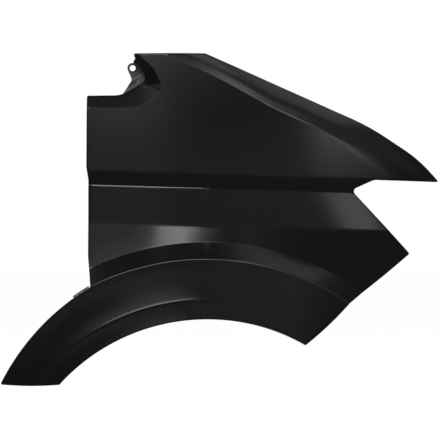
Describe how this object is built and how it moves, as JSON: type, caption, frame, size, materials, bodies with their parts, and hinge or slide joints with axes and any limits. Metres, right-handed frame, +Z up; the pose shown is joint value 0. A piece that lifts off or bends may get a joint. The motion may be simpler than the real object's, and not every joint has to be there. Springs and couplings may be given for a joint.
{
  "type": "car fender",
  "caption": "Pressed steel front wing for the right-hand side of a van, with a flared wheel arch, a headlamp notch and folded flanges with bolt holes.",
  "frame": {"origin": "on the outer face of the door flange at the rear edge, at mid-width of the flange, 85 mm below the waist ledge, on the flat stretch between the bolt holes", "axes": "+X to the front of the vehicle, along the wing; +Z up, as fitted; +Y inboard, away from the painted outer face"},
  "size_m": [0.927, 0.288, 0.6978],
  "materials": {
    "black_primer": "black electro-dipped primer, satin gloss",
    "zinc_steel": "zinc-coated sheet steel, dull"
  },
  "bodies": {
    "root": {"fender_panel": "black_primer", "cowl_bracket": "zinc_steel", "sill_bracket": "zinc_steel"}
  },
  "joints": []
}
